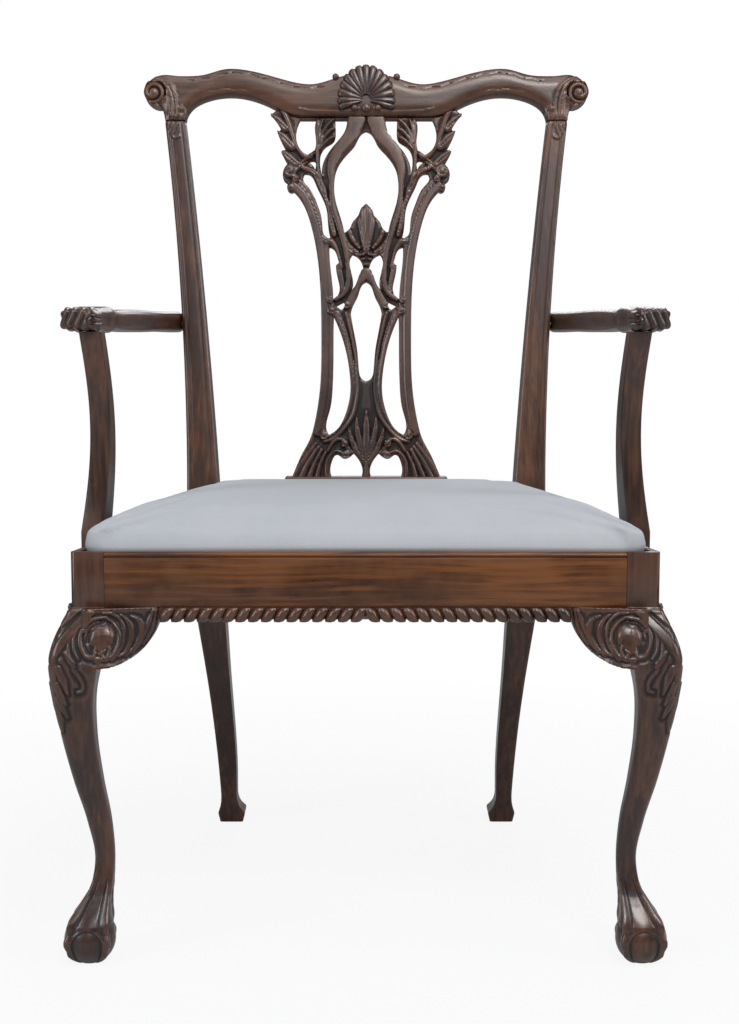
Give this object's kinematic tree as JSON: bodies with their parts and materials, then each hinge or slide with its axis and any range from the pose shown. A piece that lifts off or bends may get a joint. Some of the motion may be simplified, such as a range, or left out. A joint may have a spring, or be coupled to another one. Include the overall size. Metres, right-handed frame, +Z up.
{
  "type": "dining armchair",
  "caption": "Carved wooden armchair with a pierced splat, shell-crested serpentine top rail, curved arms, cabriole legs with claw feet and a lift-out padded seat.",
  "frame": {"origin": "centre of the part's box, at floor level", "axes": "+Z up, the sitter faces -Y, +X to the right of someone who looks at the chair's front"},
  "size_m": [0.6854, 0.5898, 1.0651],
  "materials": {
    "mahogany": "polished",
    "beech": "plain",
    "seat_fabric": "fine weave",
    "stuffing": "loose",
    "webbing": "coarse weave",
    "dust_cloth": "matt",
    "steel": "plain"
  },
  "bodies": {
    "frame": {"arm_left": "mahogany", "arm_right": "mahogany", "arm_screws": "steel", "arm_support_left": "mahogany", "arm_support_right": "mahogany", "arm_support_screws": "steel", "corner_block_front_left": "beech", "corner_block_front_right": "beech", "corner_block_rear_left": "beech", "corner_block_rear_right": "beech", "corner_block_screws": "steel", "crest_rail": "mahogany", "front_leg_left": "mahogany", "front_leg_right": "mahogany", "front_seat_rail": "mahogany", "gadroon_moulding": "mahogany", "knee_block_front_left": "mahogany", "knee_block_front_right": "mahogany", "knee_block_side_left": "mahogany", "knee_block_side_right": "mahogany", "rear_leg_left": "mahogany", "rear_leg_right": "mahogany", "rear_seat_rail": "mahogany", "side_seat_rail_left": "mahogany", "side_seat_rail_right": "mahogany", "splat": "mahogany", "splat_shoe": "mahogany"},
    "drop_in_seat": {"dust_cover": "dust_cloth", "seat_cover": "seat_fabric", "seat_frame_front": "beech", "seat_frame_left": "beech", "seat_frame_rear": "beech", "seat_frame_right": "beech", "seat_padding": "stuffing", "seat_tacks": "steel", "seat_webbing_cross": "webbing", "seat_webbing_long": "webbing"}
  },
  "joints": [
    {"name": "seat_lift", "type": "slide", "parent": "frame", "child": "drop_in_seat", "axis": [0, 0, 1], "range_m": [0, 0.12]}
  ]
}
